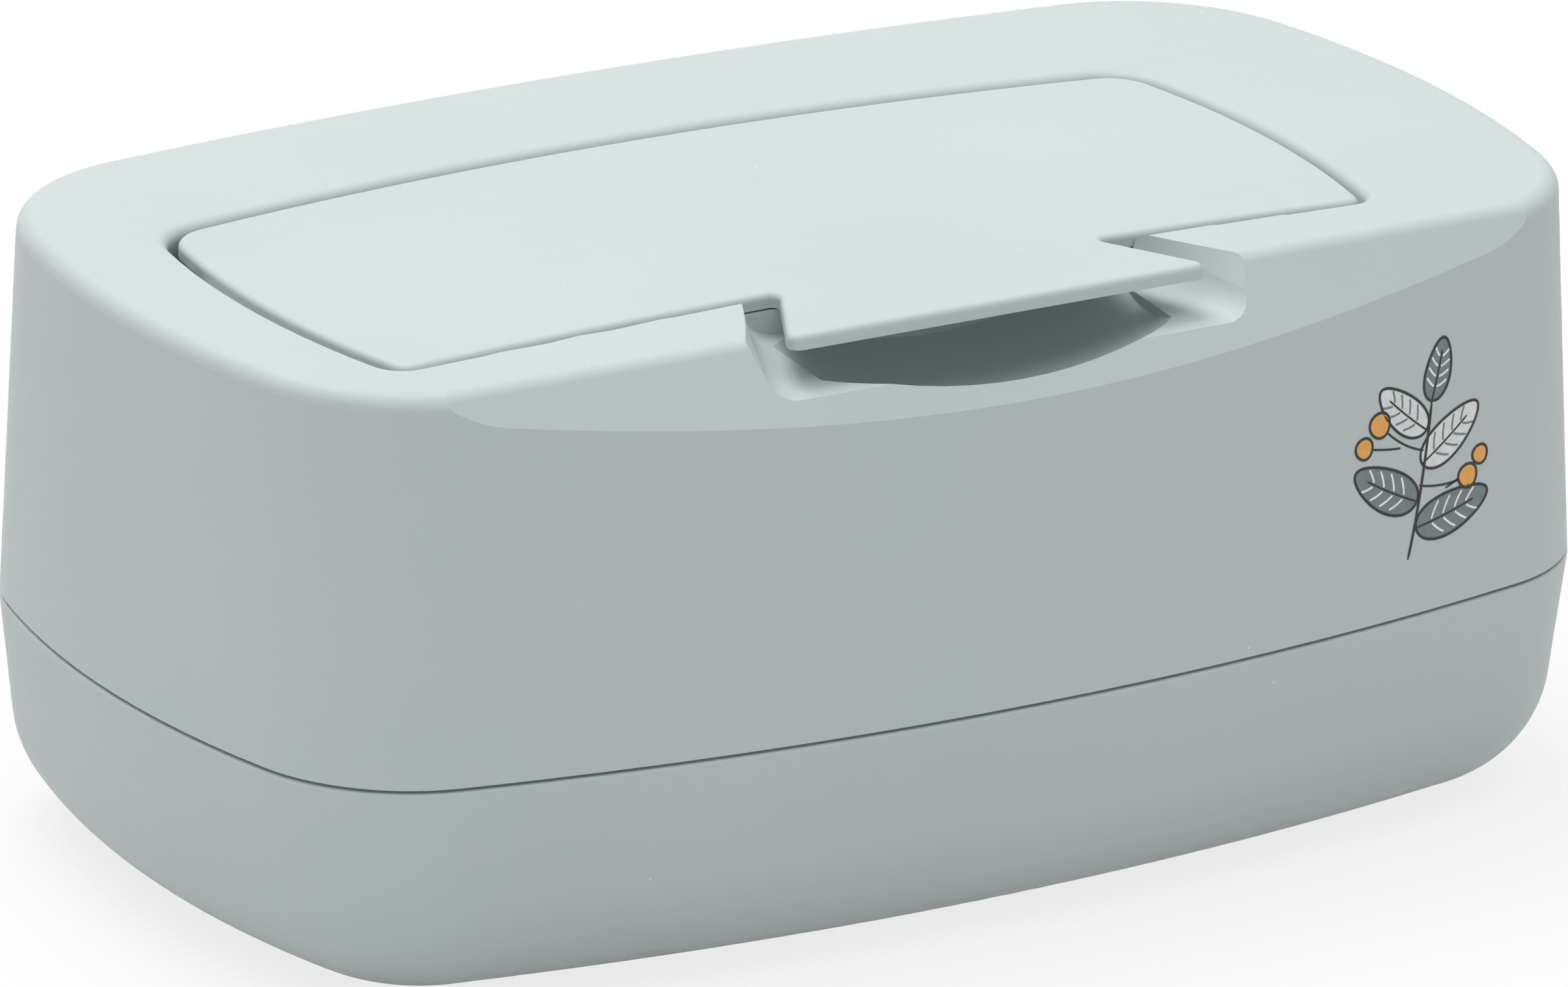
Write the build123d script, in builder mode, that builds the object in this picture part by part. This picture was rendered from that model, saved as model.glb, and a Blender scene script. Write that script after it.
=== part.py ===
from build123d import *
from math import atan2, cos, hypot, radians, sin, sqrt, tan
import os

# Baby wipes box: a rounded lower tub, a lift-off upper cover with a finger scoop in its
# front, and a flush flap lid that turns on two side pins.
# Frame: millimetres, +Z up, front towards -Y, origin under the middle of the tub on the
# plane that the foot pads stand on.

# Overall heights
split_height = 36.0        # parting plane between tub and cover
cover_height = 57.7        # parting plane up to the flat top
top_height = split_height + cover_height

# Cover outline at the parting plane: half length, half depth, bow radii, corner radius
cover_half_length = 115.9
cover_half_depth = 66.1
cover_front_bow = 460.0
cover_side_bow = 158.0
cover_corner = 26.4

# Cover outline at the top, before the front band is cut
top_lean_length = 2.2      # the end walls lean in by this much on the way up
top_lean_depth = 4.2
top_half_length = cover_half_length - top_lean_length
top_half_depth = cover_half_depth - top_lean_depth
top_front_bow = 800.0
top_side_bow = 150.0
top_corner = 31.0
top_shift = 2.5            # the top outline sits this far towards the back

# Tub outline at the bottom, before its edge is rounded
tub_lean_length = 4.4      # the end walls lean in by this much on the way down
tub_lean_depth = 0.1
tub_shoulder = 0.1         # the tub rim stands this far outside the cover
tub_rim_round = 0.5
tub_bottom_half_length = cover_half_length - tub_lean_length
tub_bottom_half_depth = cover_half_depth - tub_lean_depth
tub_bottom_front_bow = 510.0
tub_bottom_side_bow = 142.0
tub_bottom_corner = 27.5
tub_bottom_round = 18.5

# Walls
wall = 2.4
tub_floor = 2.6
top_edge_round = 2.8

# Front band: a plane that leans out and down from the straight front edge of the top
band_top_y = -51.5
band_angle = 53.5          # degrees from horizontal

# Rim joint between tub and cover
shadow_gap = 0.5           # open groove between the cover's outer edge and the tub's rim
shadow_depth = 1.2
rim_height = 4.0
lip_height = 5.0
lip_thickness = 1.3
lip_clearance = 0.3

# Lid recess
lid_centre_x = -9.7
recess_half_length = 87.3
recess_back_y = 33.9
recess_front_y = -35.6
recess_front_drop = 4.0    # how much further forward the recess's front corners reach
recess_back_bow = 483.0
recess_side_bow = 142.0
recess_side_y = -5.0       # where the recess is longest
recess_back_corner = 9.0
recess_front_corner = 4.0
least_corner = 1.0
recess_edge_round = 1.8
ledge_width = 3.0
well_depth = 8.0

# Lid
lid_gap = 1.5
lid_front_gap = 0.35
lid_thickness = 2.2
lid_edge_round = 1.0
lid_seat_gap = 0.3

# Tab on the lid's front
tab_front_y = -53.0
tab_rear_half = 26.5
tab_front_half = 36.3
tab_corner = 1.6
tab_root = 1.0

# Finger scoop in the cover's front, below the tab
scoop_rear_y = -35.6
scoop_rear_half_top = 33.3
scoop_rear_half_bottom = 32.6
scoop_rear_depth = 6.2
scoop_front_y = -59.0
scoop_front_half_top = 48.7
scoop_front_half_bottom = 41.0
scoop_front_depth = 8.0
scoop_rear_corner = 5.8
scoop_front_corner = 9.0
scoop_run_out = 11.0       # the cutter runs this far out past the front section
hollow_half_length = 30.0  # the scoop's floor dips below the tab in a shallow barrel
hollow_radius = 20.0
hollow_end_radius = 14.5
hollow_y = -47.0
hollow_rise = 6.0          # axis of the barrel above the top surface

# Hinge
hinge_y = 17.0
hinge_depth = 3.6          # axis below the top surface
pin_radius = 1.25
pin_in_lid = 5.0
pin_in_cover = 3.0
pin_running_clearance = 0.05
pin_seat_clearance = 0.02
pin_end_clearance = 0.3
lug_radius = 2.6
lug_length = 6.0
lug_side_gap = 0.4
boss_radius = 3.0
boss_length = 4.6
trough_front_y = 11.0
sweep_clearance = 0.9

# Mouth under the lid, and the seal that closes it
mouth_half_length = 70.0
mouth_front_y = -27.0
mouth_back_y = 4.0
mouth_corner = 13.0
collar_wall = 2.0
seal_width = 3.2
seal_height = 2.6
seal_squeeze_gap = 0.3
seal_rib = 1.2
seal_rib_height = 1.6
seal_fit = 0.05

# Foot pads
pad_radius = 6.5
pad_thickness = 1.6
pad_proud = 0.8
pad_x = 72.0
pad_y = 32.0
pad_fit = 0.1

# Sizes that follow
hinge_z = top_height - hinge_depth
lid_under_z = top_height - lid_thickness
ledge_z = lid_under_z - lid_seat_gap
well_floor_z = top_height - well_depth
lid_back_y = recess_back_y - lid_gap
trough_floor_z = hinge_z - hypot(lid_back_y - hinge_y, hinge_depth) - sweep_clearance
lip_outer = wall + lip_clearance
lip_inner = lip_outer + lip_thickness
collar_top_z = lid_under_z - seal_height - seal_squeeze_gap
mouth_length = 2 * mouth_half_length
mouth_depth = mouth_back_y - mouth_front_y
mouth_y = (mouth_back_y + mouth_front_y) / 2
band_run = 1 / tan(radians(band_angle))
beyond = 2 * top_half_length
corner_steps = 8           # steps that close in on the recess's back corner

os.makedirs("parts", exist_ok=True)


def bowed_outline(half_length, half_depth, front_bow, side_bow, corner, inset=0.0, shift=0.0):
    """Closed line of four bowed sides and four tangent corners, moved inwards by inset."""
    long_r = front_bow - inset
    side_r = side_bow - inset
    corner_r = corner - inset
    long_y = half_depth - front_bow
    side_x = half_length - side_bow
    span = hypot(side_x, long_y)
    to_long = front_bow - corner
    to_side = side_bow - corner
    along = (to_long**2 - to_side**2 + span**2) / (2 * span)
    across = sqrt(to_long**2 - along**2)
    centre_x = (along * side_x - across * long_y) / span
    centre_y = long_y - (along * long_y + across * side_x) / span
    side_turn = atan2(centre_y, centre_x - side_x)
    long_turn = atan2(centre_y - long_y, centre_x)
    mid_turn = (side_turn + long_turn) / 2
    x1 = side_x + side_r * cos(side_turn)
    y1 = side_r * sin(side_turn)
    x2 = long_r * cos(long_turn)
    y2 = long_y + long_r * sin(long_turn)
    xm = centre_x + corner_r * cos(mid_turn)
    ym = centre_y + corner_r * sin(mid_turn)
    xs = half_length - inset
    ys = half_depth - inset
    loop = [
        (x1, y1), (xm, ym), (x2, y2), (0, ys), (-x2, y2), (-xm, ym), (-x1, y1), (-xs, 0),
        (-x1, -y1), (-xm, -ym), (-x2, -y2), (0, -ys), (x2, -y2), (xm, -ym), (x1, -y1), (xs, 0),
    ]
    loop = [(x, y + shift) for x, y in loop]
    loop.append(loop[0])
    for i in range(0, len(loop) - 1, 2):
        ThreePointArc(loop[i], loop[i + 1], loop[i + 2])


def cover_split_outline(inset=0.0):
    bowed_outline(cover_half_length, cover_half_depth, cover_front_bow, cover_side_bow,
                  cover_corner, inset)


def cover_top_outline(inset=0.0):
    bowed_outline(top_half_length, top_half_depth, top_front_bow, top_side_bow,
                  top_corner, inset, top_shift)


def tub_bottom_outline(inset=0.0):
    bowed_outline(tub_bottom_half_length, tub_bottom_half_depth, tub_bottom_front_bow,
                  tub_bottom_side_bow, tub_bottom_corner, inset)


def cover_taper(inset):
    """Solid between the parting plane and the top that follows the cover's leaning walls."""
    with BuildPart() as taper:
        with BuildSketch(Plane.XY.offset(split_height)):
            with BuildLine():
                cover_split_outline(inset)
            make_face()
        with BuildSketch(Plane.XY.offset(top_height)):
            with BuildLine():
                cover_top_outline(inset)
            make_face()
        loft(ruled=True)
    return taper.part


def recess_side_x(y, inset=0.0):
    """Half length of the recess at a depth y."""
    bow = recess_side_bow - inset
    return recess_half_length - recess_side_bow + sqrt(bow**2 - (y - recess_side_y) ** 2)


def recess_back_at(x, inset=0.0):
    """Depth of the recess's back edge at a distance x from its middle."""
    bow = recess_back_bow - inset
    return recess_back_y - recess_back_bow + sqrt(bow**2 - x**2)


def recess_face(inset, front_inset):
    """Face of the lid's recess, with its sides and back moved inwards by inset."""
    front_y = recess_front_y + front_inset
    corner_y = front_y - recess_front_drop
    front_x = recess_side_x(corner_y, inset)
    back_x = recess_half_length
    for _ in range(corner_steps):
        back_x = recess_side_x(recess_back_at(back_x, inset), inset)
    back_y = recess_back_at(back_x, inset)
    middle = recess_half_length - inset
    front_left = (lid_centre_x - front_x, corner_y)
    front_right = (lid_centre_x + front_x, corner_y)
    back_left = (lid_centre_x - back_x, back_y)
    back_right = (lid_centre_x + back_x, back_y)
    with BuildSketch() as face:
        with BuildLine():
            ThreePointArc(front_left, (lid_centre_x - middle, recess_side_y), back_left)
            ThreePointArc(back_left, (lid_centre_x, recess_back_y - inset), back_right)
            ThreePointArc(back_right, (lid_centre_x + middle, recess_side_y), front_right)
            ThreePointArc(front_right, (lid_centre_x, front_y), front_left)
        make_face()
        back_corners = face.vertices().sort_by(Axis.Y)[2:]
        fillet(back_corners, recess_back_corner - inset)
        front_corners = face.vertices().sort_by(Axis.Y)[:2]
        fillet(front_corners, max(recess_front_corner - inset, least_corner))
    return face.sketch_local


def band_profile(inset):
    """Section of everything in front of the band plane, moved inwards by inset."""
    edge_y = band_top_y + inset / sin(radians(band_angle))
    above = cover_height / 2
    with BuildSketch() as profile:
        with BuildLine():
            Polyline(
                (edge_y + above * band_run, top_height + above),
                (edge_y - cover_height * band_run, split_height),
                (-beyond, split_height),
                (-beyond, top_height + above),
                close=True,
            )
        make_face()
    return profile.sketch_local


def scoop_profile(half_top, half_bottom, depth, corner, grow):
    """Section of the finger scoop: a trough with rounded lower corners, open upwards."""
    slope = (half_top - half_bottom) / depth
    above = cover_height / 4
    low = depth + grow
    with BuildSketch() as profile:
        with BuildLine():
            Polyline(
                (-half_bottom - grow, top_height - low),
                (half_bottom + grow, top_height - low),
                (half_bottom + grow + slope * (low + above), top_height + above),
                (-half_bottom - grow - slope * (low + above), top_height + above),
                close=True,
            )
        make_face()
        fillet(profile.vertices().group_by(Axis.Y)[0], corner + grow)
    return profile.sketch_local


def scoop_hollow(grow):
    """Barrel that hollows the scoop's floor, as far back as the scoop's rear wall."""
    end_x = hollow_half_length + grow
    end_y = hollow_y - hollow_end_radius - grow
    axis_z = top_height + hollow_rise
    with BuildPart() as hollow:
        with BuildSketch(Plane.XY.offset(axis_z)):
            with BuildLine():
                ThreePointArc((-end_x, end_y), (0, hollow_y - hollow_radius - grow), (end_x, end_y))
                Polyline((end_x, end_y), (end_x, hollow_y), (-end_x, hollow_y), (-end_x, end_y))
            make_face()
        revolve(axis=Axis((0, hollow_y, axis_z), (1, 0, 0)))
        split(bisect_by=Plane.XZ.offset(-scoop_rear_y - grow), keep=Keep.TOP)
    return hollow.part


def scoop_cutter(grow):
    """Finger scoop as a solid, made larger all round by grow for the wall behind it."""
    run = (scoop_rear_y - scoop_front_y + scoop_run_out) / (scoop_rear_y - scoop_front_y)
    half_top = scoop_rear_half_top + run * (scoop_front_half_top - scoop_rear_half_top)
    half_bottom = scoop_rear_half_bottom
    half_bottom += run * (scoop_front_half_bottom - scoop_rear_half_bottom)
    depth = scoop_rear_depth + run * (scoop_front_depth - scoop_rear_depth)
    with BuildPart() as cutter:
        with BuildSketch(Plane.XZ.offset(-scoop_rear_y - grow)):
            add(scoop_profile(scoop_rear_half_top, scoop_rear_half_bottom, scoop_rear_depth,
                              scoop_rear_corner, grow))
        with BuildSketch(Plane.XZ.offset(-scoop_front_y + scoop_run_out)):
            add(scoop_profile(half_top, half_bottom, depth, scoop_front_corner, grow))
        loft(ruled=True)
        add(scoop_hollow(grow))
    return cutter.part


def mouth_ring_face(outer, inner):
    """Ring that follows the mouth, from inner to outer millimetres outside its edge."""
    with Locations((lid_centre_x, mouth_y)):
        RectangleRounded(mouth_length + 2 * outer, mouth_depth + 2 * outer, mouth_corner + outer)
        if inner is not None:
            RectangleRounded(mouth_length + 2 * inner, mouth_depth + 2 * inner,
                             mouth_corner + inner, mode=Mode.SUBTRACT)


# Lower tub
with BuildPart() as tub_cavity:
    with BuildSketch(Plane.XY.offset(pad_proud + tub_floor)):
        with BuildLine():
            tub_bottom_outline(wall)
        make_face()
    with BuildSketch(Plane.XY.offset(split_height - rim_height)):
        with BuildLine():
            cover_split_outline(wall - tub_shoulder)
        make_face()
    loft(ruled=True)
    fillet(tub_cavity.edges().group_by(Axis.Z)[0], tub_bottom_round - wall)

with BuildPart() as tub_lip:
    add(cover_taper(lip_outer))
    add(cover_taper(lip_inner), mode=Mode.SUBTRACT)
    split(bisect_by=Plane.XY.offset(split_height + lip_height), keep=Keep.BOTTOM)

with BuildPart() as base_tub:
    with BuildSketch(Plane.XY.offset(pad_proud)):
        with BuildLine():
            tub_bottom_outline()
        make_face()
    with BuildSketch(Plane.XY.offset(split_height)):
        with BuildLine():
            cover_split_outline(-tub_shoulder)
        make_face()
    loft(ruled=True)
    fillet(base_tub.edges().group_by(Axis.Z)[-1], tub_rim_round)
    fillet(base_tub.edges().group_by(Axis.Z)[0], tub_bottom_round)
    add(tub_cavity.part, mode=Mode.SUBTRACT)
    with BuildSketch(Plane.XY.offset(split_height - rim_height)):
        with BuildLine():
            cover_split_outline(lip_inner)
        make_face()
    extrude(amount=rim_height, mode=Mode.SUBTRACT)
    add(tub_lip.part)
    with BuildSketch():
        with GridLocations(2 * pad_x, 2 * pad_y, 2, 2):
            Circle(pad_radius + pad_fit)
    extrude(amount=pad_thickness, mode=Mode.SUBTRACT)

# Upper cover
with BuildPart() as cover_cavity:
    with BuildSketch(Plane.XY.offset(split_height)):
        with BuildLine():
            cover_split_outline(wall)
        make_face()
    with BuildSketch(Plane.XY.offset(top_height - wall)):
        with BuildLine():
            cover_top_outline(wall)
        make_face()
    loft(ruled=True)
    with BuildSketch(Plane.YZ):
        add(band_profile(wall))
    extrude(amount=beyond, both=True, mode=Mode.SUBTRACT)
    add(scoop_cutter(wall), mode=Mode.SUBTRACT)
    with BuildSketch(Plane.XY.offset(well_floor_z - wall)):
        add(recess_face(-wall, -wall))
    extrude(amount=well_depth + wall, mode=Mode.SUBTRACT)
    with BuildSketch(Plane.XY.offset(trough_floor_z - wall)):
        add(recess_face(-wall, -wall))
        with Locations((lid_centre_x, trough_front_y - wall)):
            Rectangle(beyond, beyond, align=(Align.CENTER, Align.MAX), mode=Mode.SUBTRACT)
    extrude(amount=top_height - trough_floor_z + wall, mode=Mode.SUBTRACT)
    for side in (-1, 1):
        boss_x = lid_centre_x + side * recess_side_x(hinge_y)
        with BuildSketch(Plane.YZ.offset(boss_x)):
            with Locations((hinge_y, hinge_z)):
                Circle(boss_radius)
        extrude(amount=side * boss_length, mode=Mode.SUBTRACT)

with BuildPart() as top_cover:
    with BuildSketch(Plane.XY.offset(split_height)):
        with BuildLine():
            cover_split_outline()
        make_face()
    with BuildSketch(Plane.XY.offset(top_height)):
        with BuildLine():
            cover_top_outline()
        make_face()
    loft(ruled=True)
    with BuildSketch(Plane.YZ):
        add(band_profile(0))
    extrude(amount=beyond, both=True, mode=Mode.SUBTRACT)
    fillet(top_cover.faces().sort_by(Axis.Z)[-1].edges(), top_edge_round)
    with BuildSketch(Plane.XY.offset(ledge_z)):
        add(recess_face(0, 0))
    extrude(amount=cover_height, mode=Mode.SUBTRACT)
    recess_edge = top_cover.faces().sort_by(Axis.Z)[-1].inner_wires()[0].edges()
    fillet(recess_edge, recess_edge_round)
    add(scoop_cutter(0), mode=Mode.SUBTRACT)
    add(cover_cavity.part, mode=Mode.SUBTRACT)
    with BuildSketch(Plane.XY.offset(well_floor_z)):
        add(recess_face(ledge_width, ledge_width))
    extrude(amount=well_depth, mode=Mode.SUBTRACT)
    with BuildSketch(Plane.XY.offset(trough_floor_z)):
        add(recess_face(0, 0))
        with Locations((lid_centre_x, trough_front_y)):
            Rectangle(beyond, beyond, align=(Align.CENTER, Align.MAX), mode=Mode.SUBTRACT)
    extrude(amount=top_height - trough_floor_z, mode=Mode.SUBTRACT)
    with BuildSketch(Plane.XY.offset(well_floor_z)):
        mouth_ring_face(collar_wall, None)
    extrude(amount=collar_top_z - well_floor_z)
    with BuildSketch(Plane.XY.offset(well_floor_z - wall)):
        mouth_ring_face(0, None)
    extrude(amount=wall + well_depth, mode=Mode.SUBTRACT)
    for side in (-1, 1):
        boss_x = lid_centre_x + side * recess_side_x(hinge_y)
        with BuildSketch(Plane.YZ.offset(boss_x - side * lid_gap)):
            with Locations((hinge_y, hinge_z)):
                Circle(pin_radius + pin_running_clearance)
        extrude(amount=side * (lid_gap + pin_in_cover + pin_end_clearance), mode=Mode.SUBTRACT)
    with BuildSketch(Plane.XY.offset(split_height)):
        with BuildLine():
            cover_split_outline(-tub_shoulder)
        make_face()
        with BuildLine():
            cover_split_outline(shadow_depth)
        make_face(mode=Mode.SUBTRACT)
    extrude(amount=shadow_gap, mode=Mode.SUBTRACT)

# Flap lid with its tab, hinge lugs and the two ribs that hold the seal
lug_x = recess_side_x(hinge_y + lug_radius, lid_gap) - lug_side_gap
seal_middle = collar_wall / 2
seal_outer = seal_middle + seal_width / 2
seal_inner = seal_middle - seal_width / 2
with BuildPart() as lid:
    with BuildSketch(Plane.XY.offset(lid_under_z)) as lid_plan:
        add(recess_face(lid_gap, lid_front_gap))
        with BuildLine():
            Polyline(
                (-tab_rear_half, scoop_rear_y + lid_gap + lid_thickness),
                (-tab_rear_half, scoop_rear_y + lid_front_gap),
                (-tab_front_half, tab_front_y),
                (tab_front_half, tab_front_y),
                (tab_rear_half, scoop_rear_y + lid_front_gap),
                (tab_rear_half, scoop_rear_y + lid_gap + lid_thickness),
                close=True,
            )
        make_face()
        fillet(lid_plan.vertices().group_by(Axis.Y)[0], tab_corner)
        fillet(lid_plan.vertices().sort_by_distance((0, scoop_rear_y))[:2], tab_root)
    extrude(amount=lid_thickness)
    fillet(lid.faces().sort_by(Axis.Z)[-1].edges(), lid_edge_round)
    for ring in (seal_outer + seal_fit + seal_rib, seal_inner - seal_fit):
        with BuildSketch(Plane.XY.offset(lid_under_z)):
            mouth_ring_face(ring, ring - seal_rib)
        extrude(amount=-seal_rib_height)
    for side in (-1, 1):
        with BuildSketch(Plane.YZ.offset(lid_centre_x + side * lug_x)):
            with Locations((hinge_y, hinge_z)):
                Circle(lug_radius)
        extrude(amount=-side * lug_length)
    for side in (-1, 1):
        with BuildSketch(Plane.YZ.offset(lid_centre_x + side * lug_x)):
            with Locations((hinge_y, hinge_z)):
                Circle(pin_radius + pin_seat_clearance)
        extrude(amount=-side * pin_in_lid, mode=Mode.SUBTRACT)

# Soft seal that hangs between the lid's two ribs
with BuildPart() as lid_seal:
    with BuildSketch(Plane.XY.offset(lid_under_z)):
        mouth_ring_face(seal_outer, seal_inner)
    extrude(amount=-seal_height)

# Hinge pins, one at each side of the lid
pins = {}
for side, side_name in ((-1, "left"), (1, "right")):
    start_x = lid_centre_x + side * (lug_x - pin_in_lid)
    end_x = lid_centre_x + side * (recess_side_x(hinge_y) + pin_in_cover)
    with BuildPart() as pin:
        with BuildSketch(Plane.YZ.offset(start_x)):
            with Locations((hinge_y, hinge_z)):
                Circle(pin_radius)
        extrude(amount=end_x - start_x)
    pins["hinge_pin_" + side_name] = pin.part

# Foot pads, pressed into pockets in the tub's underside
pads = {}
for x_side, x_name in ((-1, "left"), (1, "right")):
    for y_side, y_name in ((-1, "front"), (1, "back")):
        with BuildPart() as pad:
            with BuildSketch():
                with Locations((x_side * pad_x, y_side * pad_y)):
                    Circle(pad_radius)
            extrude(amount=pad_thickness)
            fillet(pad.edges().group_by(Axis.Z)[0], pad_proud / 2)
        pads["foot_pad_" + y_name + "_" + x_name] = pad.part

pieces = {
    "base_tub": base_tub.part,
    "top_cover": top_cover.part,
    "lid": lid.part,
    "lid_seal": lid_seal.part,
    **pins,
    **pads,
}
for node_name, solid in pieces.items():
    solid.label = node_name
    export_step(solid, "parts/" + node_name + ".step")
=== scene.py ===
import math

import bmesh
import bpy
from mathutils import Matrix, Vector
from mathutils.bvhtree import BVHTree


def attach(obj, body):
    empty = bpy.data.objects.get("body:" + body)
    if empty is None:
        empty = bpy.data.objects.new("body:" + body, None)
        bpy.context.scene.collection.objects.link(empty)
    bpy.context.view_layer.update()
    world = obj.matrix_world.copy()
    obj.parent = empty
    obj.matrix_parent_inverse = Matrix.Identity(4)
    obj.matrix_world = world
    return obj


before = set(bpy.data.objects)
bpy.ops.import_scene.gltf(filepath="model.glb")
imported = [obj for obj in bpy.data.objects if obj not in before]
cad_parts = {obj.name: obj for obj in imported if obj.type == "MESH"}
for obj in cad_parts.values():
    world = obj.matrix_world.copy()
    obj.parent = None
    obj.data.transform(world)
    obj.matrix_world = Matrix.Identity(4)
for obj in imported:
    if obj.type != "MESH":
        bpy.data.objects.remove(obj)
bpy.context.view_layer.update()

# Baby wipes box: moulded tub and cover in a pale grey green, a flush flap lid and a small
# printed sprig at the right of the front wall. Metres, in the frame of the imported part.

MM = 0.001

# Camera: its place and axes in metres, then the picture's width and the focal length in pixels
# and the sensor's width in millimetres
CAMERA_PLACE = (-1.03744, -1.59867, 0.74136)
CAMERA_RIGHT = (0.84538, -0.53309, 0.03371)
CAMERA_UP = (0.15592, 0.30664, 0.93897)
CAMERA_BACK = (-0.51089, -0.78853, 0.34235)
PICTURE_WIDTH = 2408
FOCAL_PIXELS = 21174.2
SENSOR_WIDTH = 36.0
CLIP_END = 20.0

# Light: the world's strength for rays that light things, and two disk lamps (watts, metres)
AMBIENT = 0.46
LAMPS = {
    "overhead": {"power": 27.0, "size": 2.7, "place": (-0.25, -0.35, 2.4)},
    "rear_overhead": {"power": 40.0, "size": 1.8, "place": (-0.15, 1.15, 2.55)},
}
FLOOR_SIZE = 12.0
FLOOR_DROP = 0.0001        # the floor lies this far below the pads, so that the faces don't meet
FLOOR_ALBEDO = 0.8
FLOOR_GLOW = 0.8           # share of the floor's picture that doesn't take shadow

# Colours as sRGB values from 0 to 255
PLASTIC = (191, 201, 200)
PLASTIC_DEEP = (187, 198, 197)
DUST_PALE = (226, 230, 229)
DUST_DARK = (116, 126, 124)
SEAL = (214, 219, 216)
PAD = (128, 134, 132)
STEEL = (182, 184, 186)
INK_BLACK = (34, 36, 38)
INK_SLATE = (120, 133, 133)
INK_PALE = (226, 230, 230)
INK_WHITE = (244, 246, 246)
INK_ORANGE = (238, 172, 84)

# Surfaces. Scales are in cycles per metre, bump distances in metres.
DRIFT_SCALE = 14.0
GRAIN_SCALE = 2600.0
RIPPLE_SCALE = 38.0
SCUFF_SCALE = 420.0
SCUFF_STRETCH = 0.06
SCUFF_TURN = (0.4, 0.9, 0.5)
GRAIN_DEPTH = 0.00002
RIPPLE_DEPTH = 0.00006
PLASTIC_IOR = 1.46
PLASTIC_SPECULAR = 0.38
PLASTIC_SEEDS = {"base_tub": 0.3, "top_cover": 2.1, "lid": 3.7}
PALE_DUST = (210.0, 0.045, 0.05)   # scale, radius and share of the cells that hold a speck
DARK_DUST = (150.0, 0.03, 0.04)
DARK_DUST_SEED = 5.0       # keeps the dark specks off the pale ones
SPECK_SHIFT = (1.0, 0.37, 0.71)
SPECK_CORE = 0.6           # share of a speck's radius that is fully coloured
SCUFF_ROUGHNESS = (0.56, 0.46)
STEEL_ROUGHNESS = (0.24, 0.42)
SKIN_DEPTH = 0.00003
DEEP_SOFT = 0.93           # the darker tone of a soft part, as a share of its colour
DEEP_INK = 0.95            # the same for ink
SEAL_SKIN = 1100.0
PAD_SKIN = 1600.0
SEAL_ROUGHNESS = 0.5
PAD_ROUGHNESS = 0.75
INK_ROUGHNESS = 0.5
INK_FILM = 900.0
STEEL_LINES = 5200.0
STEEL_STRETCH = 0.03


def linear(colour):
    """A colour given as sRGB values from 0 to 255, as linear values with alpha."""
    values = []
    for value in colour:
        share = value / 255
        values.append(share / 12.92 if share <= 0.04045 else ((share + 0.055) / 1.055) ** 2.4)
    return (*values, 1.0)


def deeper(colour, share):
    """A darker tone of a colour."""
    return tuple(int(value * share) for value in colour)


def add_node(tree, kind, **inputs):
    """A new shader node, with its sockets set by name."""
    node = tree.nodes.new(kind)
    for name, value in inputs.items():
        node.inputs[name.replace("_", " ")].default_value = value
    return node


def empty_material(name):
    """A material with an empty node tree, and that tree."""
    material = bpy.data.materials.new(name)
    material.use_nodes = True
    material.node_tree.nodes.clear()
    return material, material.node_tree


def spread(tree, value, low, high, low_out, high_out):
    """Maps a socket's value from low..high to low_out..high_out."""
    node = add_node(tree, "ShaderNodeMapRange")
    ends = {"From Min": low, "From Max": high, "To Min": low_out, "To Max": high_out}
    for name, number in ends.items():
        node.inputs[name].default_value = number
    tree.links.new(value, node.inputs["Value"])
    return node.outputs["Result"]


def mixed(tree, factor, first, second):
    """Mix of two colours. Each is a socket or a linear colour."""
    node = tree.nodes.new("ShaderNodeMix")
    node.data_type = "RGBA"
    tree.links.new(factor, node.inputs["Factor"])
    for socket, colour in ((node.inputs[6], first), (node.inputs[7], second)):
        if isinstance(colour, tuple):
            socket.default_value = colour
        else:
            tree.links.new(colour, socket)
    return node.outputs[2]


def specks(tree, place, scale, radius, share, seed):
    """Sparse round specks: 1 inside a speck, 0 elsewhere."""
    cells = add_node(tree, "ShaderNodeTexVoronoi", Scale=scale)
    shift = add_node(tree, "ShaderNodeVectorMath")
    shift.operation = "ADD"
    shift.inputs[1].default_value = tuple(seed * part for part in SPECK_SHIFT)
    tree.links.new(place, shift.inputs[0])
    tree.links.new(shift.outputs["Vector"], cells.inputs["Vector"])
    near = spread(tree, cells.outputs["Distance"], radius, radius * SPECK_CORE, 0.0, 1.0)
    split = add_node(tree, "ShaderNodeSeparateColor")
    tree.links.new(cells.outputs["Color"], split.inputs["Color"])
    chosen = tree.nodes.new("ShaderNodeMath")
    chosen.operation = "GREATER_THAN"
    chosen.inputs[1].default_value = 1 - share
    tree.links.new(split.outputs["Red"], chosen.inputs[0])
    both = tree.nodes.new("ShaderNodeMath")
    both.operation = "MULTIPLY"
    tree.links.new(near, both.inputs[0])
    tree.links.new(chosen.outputs[0], both.inputs[1])
    return both.outputs[0]


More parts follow.
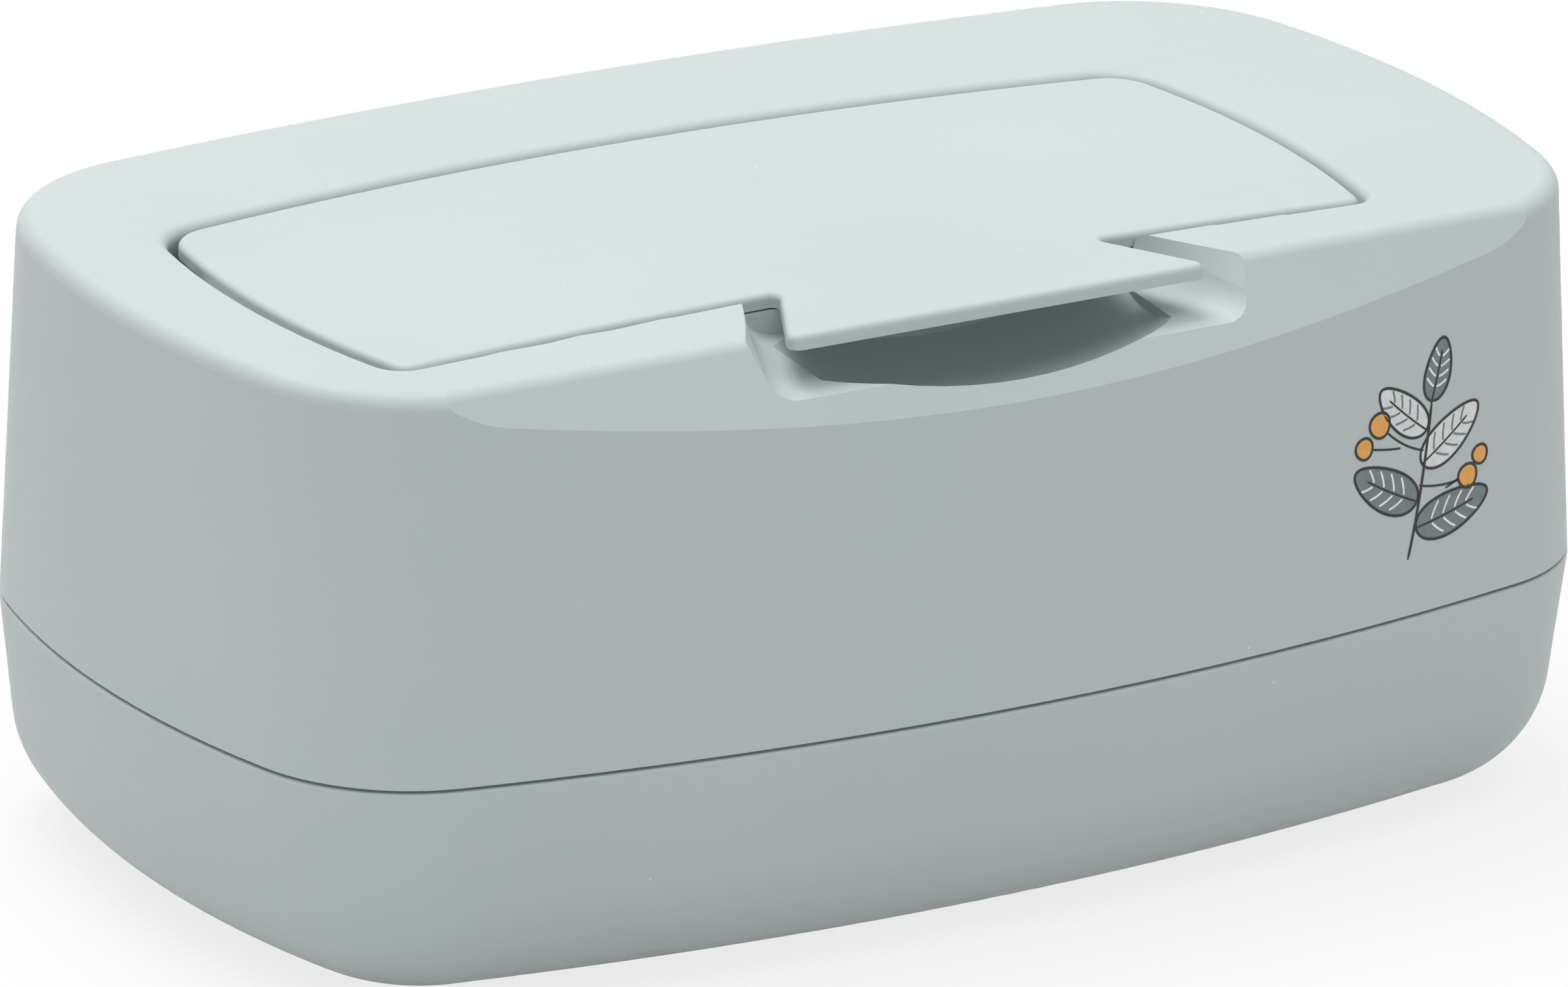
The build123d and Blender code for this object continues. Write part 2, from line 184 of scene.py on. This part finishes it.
def make_plastic(name, seed):
    """Matte moulded plastic: soft colour drift, fine grain, dust and light scuffs."""
    material, tree = empty_material(name)
    coordinates = add_node(tree, "ShaderNodeTexCoord")
    place = coordinates.outputs["Object"]
    drift = add_node(tree, "ShaderNodeTexNoise", Scale=DRIFT_SCALE, Detail=3.0, Roughness=0.55)
    grain = add_node(tree, "ShaderNodeTexNoise", Scale=GRAIN_SCALE, Detail=2.0, Roughness=0.6)
    ripple = add_node(tree, "ShaderNodeTexNoise", Scale=RIPPLE_SCALE, Detail=2.0, Roughness=0.5)
    stretch = add_node(tree, "ShaderNodeMapping")
    stretch.inputs["Scale"].default_value = (SCUFF_STRETCH, 1.0, 1.0)
    turn_x, turn_y, turn_z = SCUFF_TURN
    stretch.inputs["Rotation"].default_value = (turn_x, turn_y, turn_z + seed)
    scuff = add_node(tree, "ShaderNodeTexNoise", Scale=SCUFF_SCALE, Detail=4.0, Roughness=0.7)
    for texture in (drift, grain, ripple):
        tree.links.new(place, texture.inputs["Vector"])
    tree.links.new(place, stretch.inputs["Vector"])
    tree.links.new(stretch.outputs["Vector"], scuff.inputs["Vector"])

    tone = spread(tree, drift.outputs["Fac"], 0.3, 0.7, 0.0, 1.0)
    colour = mixed(tree, tone, linear(PLASTIC_DEEP), linear(PLASTIC))
    pale = specks(tree, place, *PALE_DUST, seed)
    dark = specks(tree, place, *DARK_DUST, seed + DARK_DUST_SEED)
    colour = mixed(tree, pale, colour, linear(DUST_PALE))
    colour = mixed(tree, dark, colour, linear(DUST_DARK))

    shader = add_node(tree, "ShaderNodeBsdfPrincipled")
    shader.inputs["IOR"].default_value = PLASTIC_IOR
    shader.inputs["Specular IOR Level"].default_value = PLASTIC_SPECULAR
    tree.links.new(colour, shader.inputs["Base Color"])
    rough = spread(tree, scuff.outputs["Fac"], 0.42, 0.72, *SCUFF_ROUGHNESS)
    tree.links.new(rough, shader.inputs["Roughness"])

    fine = add_node(tree, "ShaderNodeBump", Strength=0.35, Distance=GRAIN_DEPTH)
    tree.links.new(grain.outputs["Fac"], fine.inputs["Height"])
    broad = add_node(tree, "ShaderNodeBump", Strength=0.2, Distance=RIPPLE_DEPTH)
    tree.links.new(ripple.outputs["Fac"], broad.inputs["Height"])
    tree.links.new(fine.outputs["Normal"], broad.inputs["Normal"])
    tree.links.new(broad.outputs["Normal"], shader.inputs["Normal"])
    output = add_node(tree, "ShaderNodeOutputMaterial")
    tree.links.new(shader.outputs["BSDF"], output.inputs["Surface"])
    return material


def make_soft(name, colour, roughness, scale):
    """Soft moulded elastomer with a fine skin and a little uneven tone."""
    material, tree = empty_material(name)
    coordinates = add_node(tree, "ShaderNodeTexCoord")
    skin = add_node(tree, "ShaderNodeTexNoise", Scale=scale, Detail=4.0, Roughness=0.6)
    tree.links.new(coordinates.outputs["Object"], skin.inputs["Vector"])
    tone = spread(tree, skin.outputs["Fac"], 0.3, 0.7, 0.0, 1.0)
    base = mixed(tree, tone, linear(deeper(colour, DEEP_SOFT)), linear(colour))
    shader = add_node(tree, "ShaderNodeBsdfPrincipled", Roughness=roughness)
    tree.links.new(base, shader.inputs["Base Color"])
    bump = add_node(tree, "ShaderNodeBump", Strength=0.3, Distance=SKIN_DEPTH)
    tree.links.new(skin.outputs["Fac"], bump.inputs["Height"])
    tree.links.new(bump.outputs["Normal"], shader.inputs["Normal"])
    output = add_node(tree, "ShaderNodeOutputMaterial")
    tree.links.new(shader.outputs["BSDF"], output.inputs["Surface"])
    return material


def make_steel(name):
    """Drawn steel, with fine lines along the pin."""
    material, tree = empty_material(name)
    coordinates = add_node(tree, "ShaderNodeTexCoord")
    stretch = add_node(tree, "ShaderNodeMapping")
    stretch.inputs["Scale"].default_value = (STEEL_STRETCH, 1.0, 1.0)
    lines = add_node(tree, "ShaderNodeTexNoise", Scale=STEEL_LINES, Detail=3.0)
    tree.links.new(coordinates.outputs["Object"], stretch.inputs["Vector"])
    tree.links.new(stretch.outputs["Vector"], lines.inputs["Vector"])
    shader = add_node(tree, "ShaderNodeBsdfPrincipled", Metallic=1.0)
    shader.inputs["Base Color"].default_value = linear(STEEL)
    rough = spread(tree, lines.outputs["Fac"], 0.3, 0.7, *STEEL_ROUGHNESS)
    tree.links.new(rough, shader.inputs["Roughness"])
    output = add_node(tree, "ShaderNodeOutputMaterial")
    tree.links.new(shader.outputs["BSDF"], output.inputs["Surface"])
    return material


def make_ink(name, colour):
    """Printed ink: a thin matte film, a little uneven as pad printing is."""
    material, tree = empty_material(name)
    coordinates = add_node(tree, "ShaderNodeTexCoord")
    film = add_node(tree, "ShaderNodeTexNoise", Scale=INK_FILM, Detail=3.0, Roughness=0.6)
    tree.links.new(coordinates.outputs["Object"], film.inputs["Vector"])
    tone = spread(tree, film.outputs["Fac"], 0.35, 0.65, 0.0, 1.0)
    base = mixed(tree, tone, linear(deeper(colour, DEEP_INK)), linear(colour))
    shader = add_node(tree, "ShaderNodeBsdfPrincipled", Roughness=INK_ROUGHNESS)
    tree.links.new(base, shader.inputs["Base Color"])
    output = add_node(tree, "ShaderNodeOutputMaterial")
    tree.links.new(shader.outputs["BSDF"], output.inputs["Surface"])
    return material


def seen_directly(tree):
    """1 for rays from the camera and for mirrored or passed rays, 0 for rays that light things."""
    path = add_node(tree, "ShaderNodeLightPath")
    total = path.outputs["Is Camera Ray"]
    for name in ("Is Glossy Ray", "Is Transmission Ray"):
        largest = tree.nodes.new("ShaderNodeMath")
        largest.operation = "MAXIMUM"
        tree.links.new(total, largest.inputs[0])
        tree.links.new(path.outputs[name], largest.inputs[1])
        total = largest.outputs[0]
    return total


def make_world():
    """White where it is seen directly, and dimmer where it lights things."""
    world = bpy.data.worlds.new("studio")
    bpy.context.scene.world = world
    world.use_nodes = True
    tree = world.node_tree
    tree.nodes.clear()
    lit = add_node(tree, "ShaderNodeBackground", Color=(1, 1, 1, 1), Strength=AMBIENT)
    white = add_node(tree, "ShaderNodeBackground", Color=(1, 1, 1, 1), Strength=1.0)
    mix = add_node(tree, "ShaderNodeMixShader")
    tree.links.new(seen_directly(tree), mix.inputs[0])
    tree.links.new(lit.outputs[0], mix.inputs[1])
    tree.links.new(white.outputs[0], mix.inputs[2])
    output = add_node(tree, "ShaderNodeOutputWorld")
    tree.links.new(mix.outputs[0], output.inputs["Surface"])


def make_floor():
    """Pale floor that keeps the shadow and can't be seen from below."""
    material, tree = empty_material("floor_paper")
    paper = add_node(tree, "ShaderNodeBsdfDiffuse")
    paper.inputs["Color"].default_value = (FLOOR_ALBEDO, FLOOR_ALBEDO, FLOOR_ALBEDO, 1)
    glow = add_node(tree, "ShaderNodeEmission", Strength=1.0)
    share = tree.nodes.new("ShaderNodeMath")
    share.operation = "MULTIPLY"
    share.inputs[1].default_value = FLOOR_GLOW
    tree.links.new(seen_directly(tree), share.inputs[0])
    mix = add_node(tree, "ShaderNodeMixShader")
    tree.links.new(share.outputs[0], mix.inputs[0])
    tree.links.new(paper.outputs[0], mix.inputs[1])
    tree.links.new(glow.outputs[0], mix.inputs[2])
    side = add_node(tree, "ShaderNodeNewGeometry")
    clear = add_node(tree, "ShaderNodeBsdfTransparent")
    one_sided = add_node(tree, "ShaderNodeMixShader")
    tree.links.new(side.outputs["Backfacing"], one_sided.inputs[0])
    tree.links.new(mix.outputs[0], one_sided.inputs[1])
    tree.links.new(clear.outputs[0], one_sided.inputs[2])
    output = add_node(tree, "ShaderNodeOutputMaterial")
    tree.links.new(one_sided.outputs[0], output.inputs["Surface"])

    half = FLOOR_SIZE / 2
    low = -FLOOR_DROP
    mesh = bpy.data.meshes.new("floor")
    corners = [(-half, -half, low), (half, -half, low), (half, half, low), (-half, half, low)]
    mesh.from_pydata(corners, [], [(0, 1, 2, 3)])
    mesh.materials.append(material)
    floor = bpy.data.objects.new("floor", mesh)
    bpy.context.scene.collection.objects.link(floor)


def make_lamps():
    """Disk lamps that point at the origin."""
    for name, facts in LAMPS.items():
        lamp = bpy.data.lights.new(name, "AREA")
        lamp.shape = "DISK"
        lamp.size = facts["size"]
        lamp.energy = facts["power"]
        holder = bpy.data.objects.new(name, lamp)
        holder.location = facts["place"]
        holder.rotation_euler = (-Vector(facts["place"])).to_track_quat("-Z", "Y").to_euler()
        bpy.context.scene.collection.objects.link(holder)


def make_camera():
    """The camera at the photograph's viewing angle."""
    data = bpy.data.cameras.new("camera")
    data.sensor_width = SENSOR_WIDTH
    data.lens = FOCAL_PIXELS / PICTURE_WIDTH * SENSOR_WIDTH
    data.clip_end = CLIP_END
    camera = bpy.data.objects.new("camera", data)
    turned = Matrix((CAMERA_RIGHT, CAMERA_UP, CAMERA_BACK)).transposed().to_4x4()
    camera.matrix_world = Matrix.Translation(CAMERA_PLACE) @ turned
    bpy.context.scene.collection.objects.link(camera)
    bpy.context.scene.camera = camera


def dress(node, material):
    """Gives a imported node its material."""
    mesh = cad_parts[node].data
    mesh.materials.clear()
    mesh.materials.append(material)


# Printed sprig. Its shapes are drawn on a flat sheet, in millimetres across and up from the
# sprig's middle, and each point is then laid on the cover's front wall.
PRINT_CENTRE_X = 69.5
PRINT_CENTRE_Z = 60.0
RINGS = 4
EDGE_STEPS = 48
LINE_STEPS = 20
LINE_WIDTH = 0.42
STEM_WIDTH = 1.1           # widths of finer and thicker lines, as shares of LINE_WIDTH
RIB_WIDTH = 0.7
VEIN_WIDTH = 0.8
STALK_WIDTH = 0.8
LINE_END = 0.5             # the ends of an open line, as a share of its width
LAYER = 0.02               # one film of ink lies this far above the last, in millimetres
RAY_START_Y = -0.2         # rays onto the front wall start here, in metres
LEAF_TAPER = 0.35
RIB_REACH = 0.8            # share of a leaf's length that its middle rib covers
VEINS = (0.2, 0.36, 0.52, 0.68)    # where the veins start, as shares of the leaf's length
VEIN_ROOT = (0.25, 0.3)    # start of a vein past that place and off the rib, in millimetres
VEIN_BENDS = ((0.07, 0.5), (0.15, 0.8))    # how far ahead and how far out, as shares
VEIN_REACH_AT = 0.12       # the leaf's half width is taken this share further on
FILLS, MARKS, LINES, FRONT = 1, 2, 3, 4    # films of ink, from the wall outwards
BERRY_TURN = 20
BERRY_WOBBLE = 0.03

# Leaves: where each starts, its angle, length, width, curl and whether it is slate
LEAVES = [
    ((0.6, -6.5), 152, 13.5, 7.6, 1.2, True),
    ((1.6, -1.0), 34, 13.0, 7.2, -1.2, False),
    ((2.4, 4.0), 140, 11.5, 6.6, 1.0, False),
    ((3.4, 8.2), 76, 9.5, 5.8, -0.6, True),
    ((0.4, -10.5), 12, 14.5, 7.6, -1.4, True),
]
STEM = ((-1.2, -15.0), (1.6, -6.0), (3.4, 8.2))

# Berries: the stalk's start and control point, the berry's middle and its radius
BERRIES = [
    ((1.9, 1.0), (-2.6, 2.2), (-6.6, 6.4), 1.9),
    ((-2.6, 2.2), (-5.8, 2.4), (-9.6, 3.4), 1.6),
    ((1.0, -4.2), (6.2, -5.6), (10.6, -4.6), 1.8),
    ((6.2, -5.6), (10.6, -4.4), (13.0, -1.8), 1.45),
]


def wall_finder():
    """A function that gives the point of the cover's front wall at a place across and up."""
    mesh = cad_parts["top_cover"].data
    points = [v.co.copy() for v in mesh.vertices]
    faces = [tuple(f.vertices) for f in mesh.polygons]
    tree = BVHTree.FromPolygons(points, faces)

    def on_wall(across, up, layer):
        x = (PRINT_CENTRE_X + across) * MM
        z = (PRINT_CENTRE_Z + up) * MM
        hit, normal, _, _ = tree.ray_cast(Vector((x, RAY_START_Y, z)), Vector((0, 1, 0)))
        if normal.y > 0:
            normal = -normal
        return hit + normal * (layer * LAYER * MM)

    return on_wall


def leaf_half_width(width, along):
    """Half width of a leaf at a share of its length."""
    return width / 2 * math.sin(math.acos(1 - 2 * along)) * (1 - LEAF_TAPER * along)


def leaf_edge(length, width, curl):
    """Outline of a leaf that starts at the stem, as points across and up before it is turned."""
    points = []
    for step in range(EDGE_STEPS):
        turn = 2 * math.pi * step / EDGE_STEPS
        along = (1 - math.cos(turn)) / 2
        side = math.sin(turn) * (1 - LEAF_TAPER * along)
        bend = curl * along * (1 - along)
        points.append((length * along, width / 2 * side + bend))
    return points


def round_edge(radius, wobble):
    """Outline of a berry, a little off round."""
    points = []
    for step in range(EDGE_STEPS):
        turn = 2 * math.pi * step / EDGE_STEPS
        far = radius * (1 + wobble * math.sin(3 * turn))
        points.append((far * math.cos(turn), far * math.sin(turn)))
    return points


def placed(points, start, angle):
    """Points turned by angle, in degrees, and moved to start."""
    c, s = math.cos(math.radians(angle)), math.sin(math.radians(angle))
    return [(start[0] + c * x - s * y, start[1] + s * x + c * y) for x, y in points]


def sheet_fill(target, edge, layer):
    """Adds a filled shape, as rings of faces that close in on its middle."""
    on_wall, bm = target["on_wall"], target["bm"]
    middle_x = sum(x for x, _ in edge) / len(edge)
    middle_y = sum(y for _, y in edge) / len(edge)
    rings = []
    for ring in range(RINGS):
        share = 1 - ring / RINGS
        ring_points = [
            (middle_x + share * (x - middle_x), middle_y + share * (y - middle_y)) for x, y in edge
        ]
        rings.append([bm.verts.new(on_wall(x, y, layer)) for x, y in ring_points])
    heart = bm.verts.new(on_wall(middle_x, middle_y, layer))
    count = len(edge)
    for outer, inner in zip(rings, rings[1:]):
        for i in range(count):
            j = (i + 1) % count
            bm.faces.new((outer[i], outer[j], inner[j], inner[i]))
    for i in range(count):
        bm.faces.new((rings[-1][i], rings[-1][(i + 1) % count], heart))


def sheet_line(target, points, layer, width=LINE_WIDTH, closed=False):
    """Adds a line of even width, with ends that narrow a little when it is open."""
    on_wall, bm = target["on_wall"], target["bm"]
    count = len(points)
    left, right = [], []
    for i, (x, y) in enumerate(points):
        if closed:
            before, after = points[i - 1], points[(i + 1) % count]
        else:
            before, after = points[max(i - 1, 0)], points[min(i + 1, count - 1)]
        dx, dy = after[0] - before[0], after[1] - before[1]
        size = math.hypot(dx, dy) or 1.0
        half = width / 2
        if not closed and i in (0, count - 1):
            half *= LINE_END
        nx, ny = -dy / size * half, dx / size * half
        left.append(bm.verts.new(on_wall(x + nx, y + ny, layer)))
        right.append(bm.verts.new(on_wall(x - nx, y - ny, layer)))
    for i in range(count if closed else count - 1):
        j = (i + 1) % count
        bm.faces.new((right[i], right[j], left[j], left[i]))


def curve_points(start, control, end):
    """Points of a curve from start to end that bends towards control."""
    points = []
    for step in range(LINE_STEPS + 1):
        t = step / LINE_STEPS
        a, b, c = (1 - t) ** 2, 2 * t * (1 - t), t * t
        points.append(tuple(a * p + b * q + c * r for p, q, r in zip(start, control, end)))
    return points


def draw_leaf(sheets, start, angle, length, width, curl, slate):
    """One leaf: its fill, outline, middle rib and veins."""
    lines = sheets["print_lines"]
    edge = placed(leaf_edge(length, width, curl), start, angle)
    sheet_fill(sheets["print_slate" if slate else "print_pale"], edge, FILLS)
    sheet_line(lines, edge, LINES, closed=True)
    shares = [step / LINE_STEPS * RIB_REACH for step in range(LINE_STEPS + 1)]
    rib = [(length * t, curl * t * (1 - t)) for t in shares]
    sheet_line(lines, placed(rib, start, angle), LINES, LINE_WIDTH * RIB_WIDTH)
    marks = sheets["print_marks" if slate else "print_marks_dark"]
    for along in VEINS:
        for side in (-1, 1):
            reach = leaf_half_width(width, along + VEIN_REACH_AT)
            root = curl * along * (1 - along)
            ends = [(length * along + VEIN_ROOT[0], root + VEIN_ROOT[1] * side)]
            for ahead, out in VEIN_BENDS:
                ends.append((length * (along + ahead), root + out * reach * side))
            vein = placed(curve_points(*ends), start, angle)
            sheet_line(marks, vein, MARKS, LINE_WIDTH * VEIN_WIDTH)


def draw_berry(sheets, start, control, centre, radius):
    """One berry on its stalk."""
    lines = sheets["print_lines"]
    sheet_line(lines, curve_points(start, control, centre), MARKS, LINE_WIDTH * STALK_WIDTH)
    edge = placed(round_edge(radius, BERRY_WOBBLE), centre, BERRY_TURN)
    sheet_fill(sheets["print_orange"], edge, LINES)
    sheet_line(lines, edge, FRONT, closed=True)


def make_print():
    """The printed sprig, as one piece for each ink."""
    on_wall = wall_finder()
    inks = {
        "print_slate": INK_SLATE, "print_pale": INK_PALE, "print_orange": INK_ORANGE,
        "print_marks": INK_WHITE, "print_marks_dark": INK_SLATE, "print_lines": INK_BLACK,
    }
    sheets = {name: {"bm": bmesh.new(), "on_wall": on_wall} for name in inks}
    sheet_line(sheets["print_lines"], curve_points(*STEM), FRONT, LINE_WIDTH * STEM_WIDTH)
    for leaf in LEAVES:
        draw_leaf(sheets, *leaf)
    for berry in BERRIES:
        draw_berry(sheets, *berry)

    for name, sheet in sheets.items():
        mesh = bpy.data.meshes.new(name)
        bmesh.ops.recalc_face_normals(sheet["bm"], faces=sheet["bm"].faces)
        sheet["bm"].to_mesh(mesh)
        sheet["bm"].free()
        mesh.materials.append(make_ink(name, inks[name]))
        piece = bpy.data.objects.new(name, mesh)
        bpy.context.scene.collection.objects.link(piece)
        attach(piece, "cover")


bpy.context.scene.view_settings.view_transform = "Standard"
make_world()
make_floor()
make_lamps()
make_camera()

dress("base_tub", make_plastic("plastic_tub", PLASTIC_SEEDS["base_tub"]))
dress("top_cover", make_plastic("plastic_cover", PLASTIC_SEEDS["top_cover"]))
dress("lid", make_plastic("plastic_lid", PLASTIC_SEEDS["lid"]))
dress("lid_seal", make_soft("seal_rubber", SEAL, SEAL_ROUGHNESS, SEAL_SKIN))
steel = make_steel("pin_steel")
dress("hinge_pin_left", steel)
dress("hinge_pin_right", steel)
pad_rubber = make_soft("pad_rubber", PAD, PAD_ROUGHNESS, PAD_SKIN)
for node_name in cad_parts:
    if node_name.startswith("foot_pad"):
        dress(node_name, pad_rubber)
make_print()
